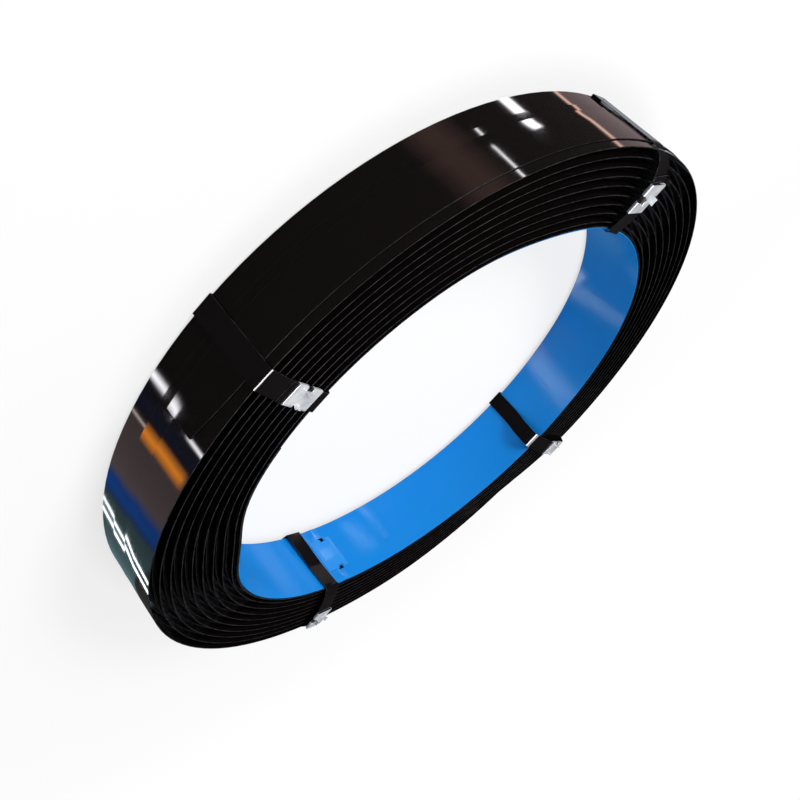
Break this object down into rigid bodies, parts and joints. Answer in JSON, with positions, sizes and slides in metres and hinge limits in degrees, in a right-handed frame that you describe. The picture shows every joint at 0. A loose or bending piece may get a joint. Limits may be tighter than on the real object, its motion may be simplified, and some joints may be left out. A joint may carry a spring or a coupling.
{
  "type": "steel strapping coil",
  "caption": "Ring-shaped coil of flat black steel strapping, wound on a blue sheet hoop and held by notched-seal steel ties round its section.",
  "frame": {"origin": "on the coil's axis, at the floor that the ties under it rest on", "axes": "+Z along the coil's axis, up through the end face that carries the ties' seals; +X and +Y in the plane of the end face"},
  "size_m": [0.5385, 0.5384, 0.0775],
  "materials": {
    "black_strap": "gloss black lacquer on cold-rolled steel",
    "blue_hoop": "gloss blue paint on sheet steel",
    "black_tie": "gloss black lacquer on steel strap, worn grey at its bends",
    "bare_seal": "bare zinc-coated sheet steel, crimped"
  },
  "bodies": {
    "root": {"strap_coil": "black_strap", "core_hoop": "blue_hoop", "hoop_seal": "blue_hoop", "tie_strap_1": "black_tie", "tie_strap_2": "black_tie", "tie_strap_3": "black_tie", "tie_strap_4": "black_tie", "tie_seal_1": "bare_seal", "tie_seal_2": "bare_seal", "tie_seal_3": "bare_seal", "tie_seal_4": "bare_seal"}
  },
  "joints": []
}
